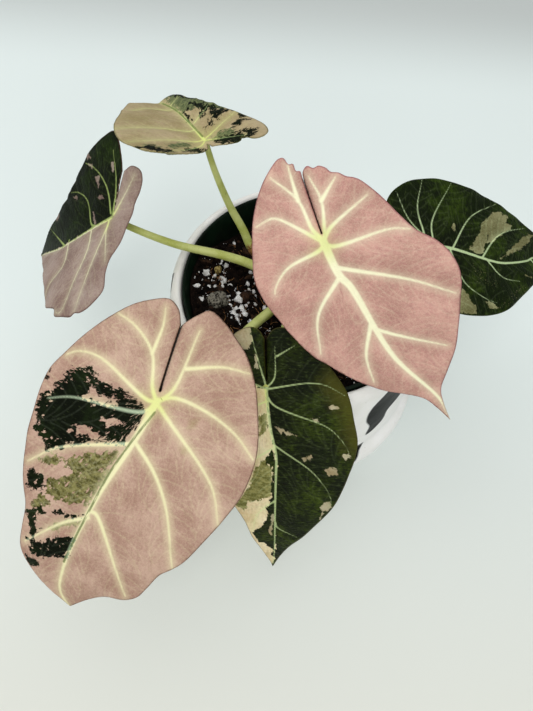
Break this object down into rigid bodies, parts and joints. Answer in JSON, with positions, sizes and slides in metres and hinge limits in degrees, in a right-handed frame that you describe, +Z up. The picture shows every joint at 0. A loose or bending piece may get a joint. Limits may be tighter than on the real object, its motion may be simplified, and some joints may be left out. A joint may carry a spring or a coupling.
{
  "type": "potted black velvet alocasia",
  "caption": "Small variegated velvet-leaved alocasia with heart-shaped cream, pink and dark green leaves, in a green nursery pot inside a white cover pot with black patches.",
  "frame": {"origin": "centre of the cover pot's foot, on the surface it stands on", "axes": "+Z up, -Y towards the front of the plant, where the largest leaf hangs over the rim on the left, +X to the right"},
  "size_m": [0.2451, 0.2105, 0.1547],
  "materials": {
    "cover_pot": "gloss glaze, white with black patches",
    "nursery_pot": "satin moulded plastic",
    "soil": "loose dark mix of bark and peat with white perlite",
    "crown": "rough brown corm",
    "stalk": "smooth yellow-green stalk",
    "blade_pink": "velvety pink leaf",
    "blade_cream": "velvety cream and green leaf",
    "blade_green": "velvety near-black green leaf"
  },
  "bodies": {
    "root": {"cover_pot": "cover_pot", "nursery_pot": "nursery_pot", "soil": "soil", "crown": "crown", "stalk_front_left": "stalk", "blade_front_left": "blade_pink", "stalk_upper_right": "stalk", "blade_upper_right": "blade_pink", "stalk_front": "stalk", "blade_front": "blade_cream", "stalk_right": "stalk", "blade_right": "blade_green", "stalk_back": "stalk", "blade_back": "blade_cream", "stalk_left": "stalk", "blade_left": "blade_green"}
  },
  "joints": []
}
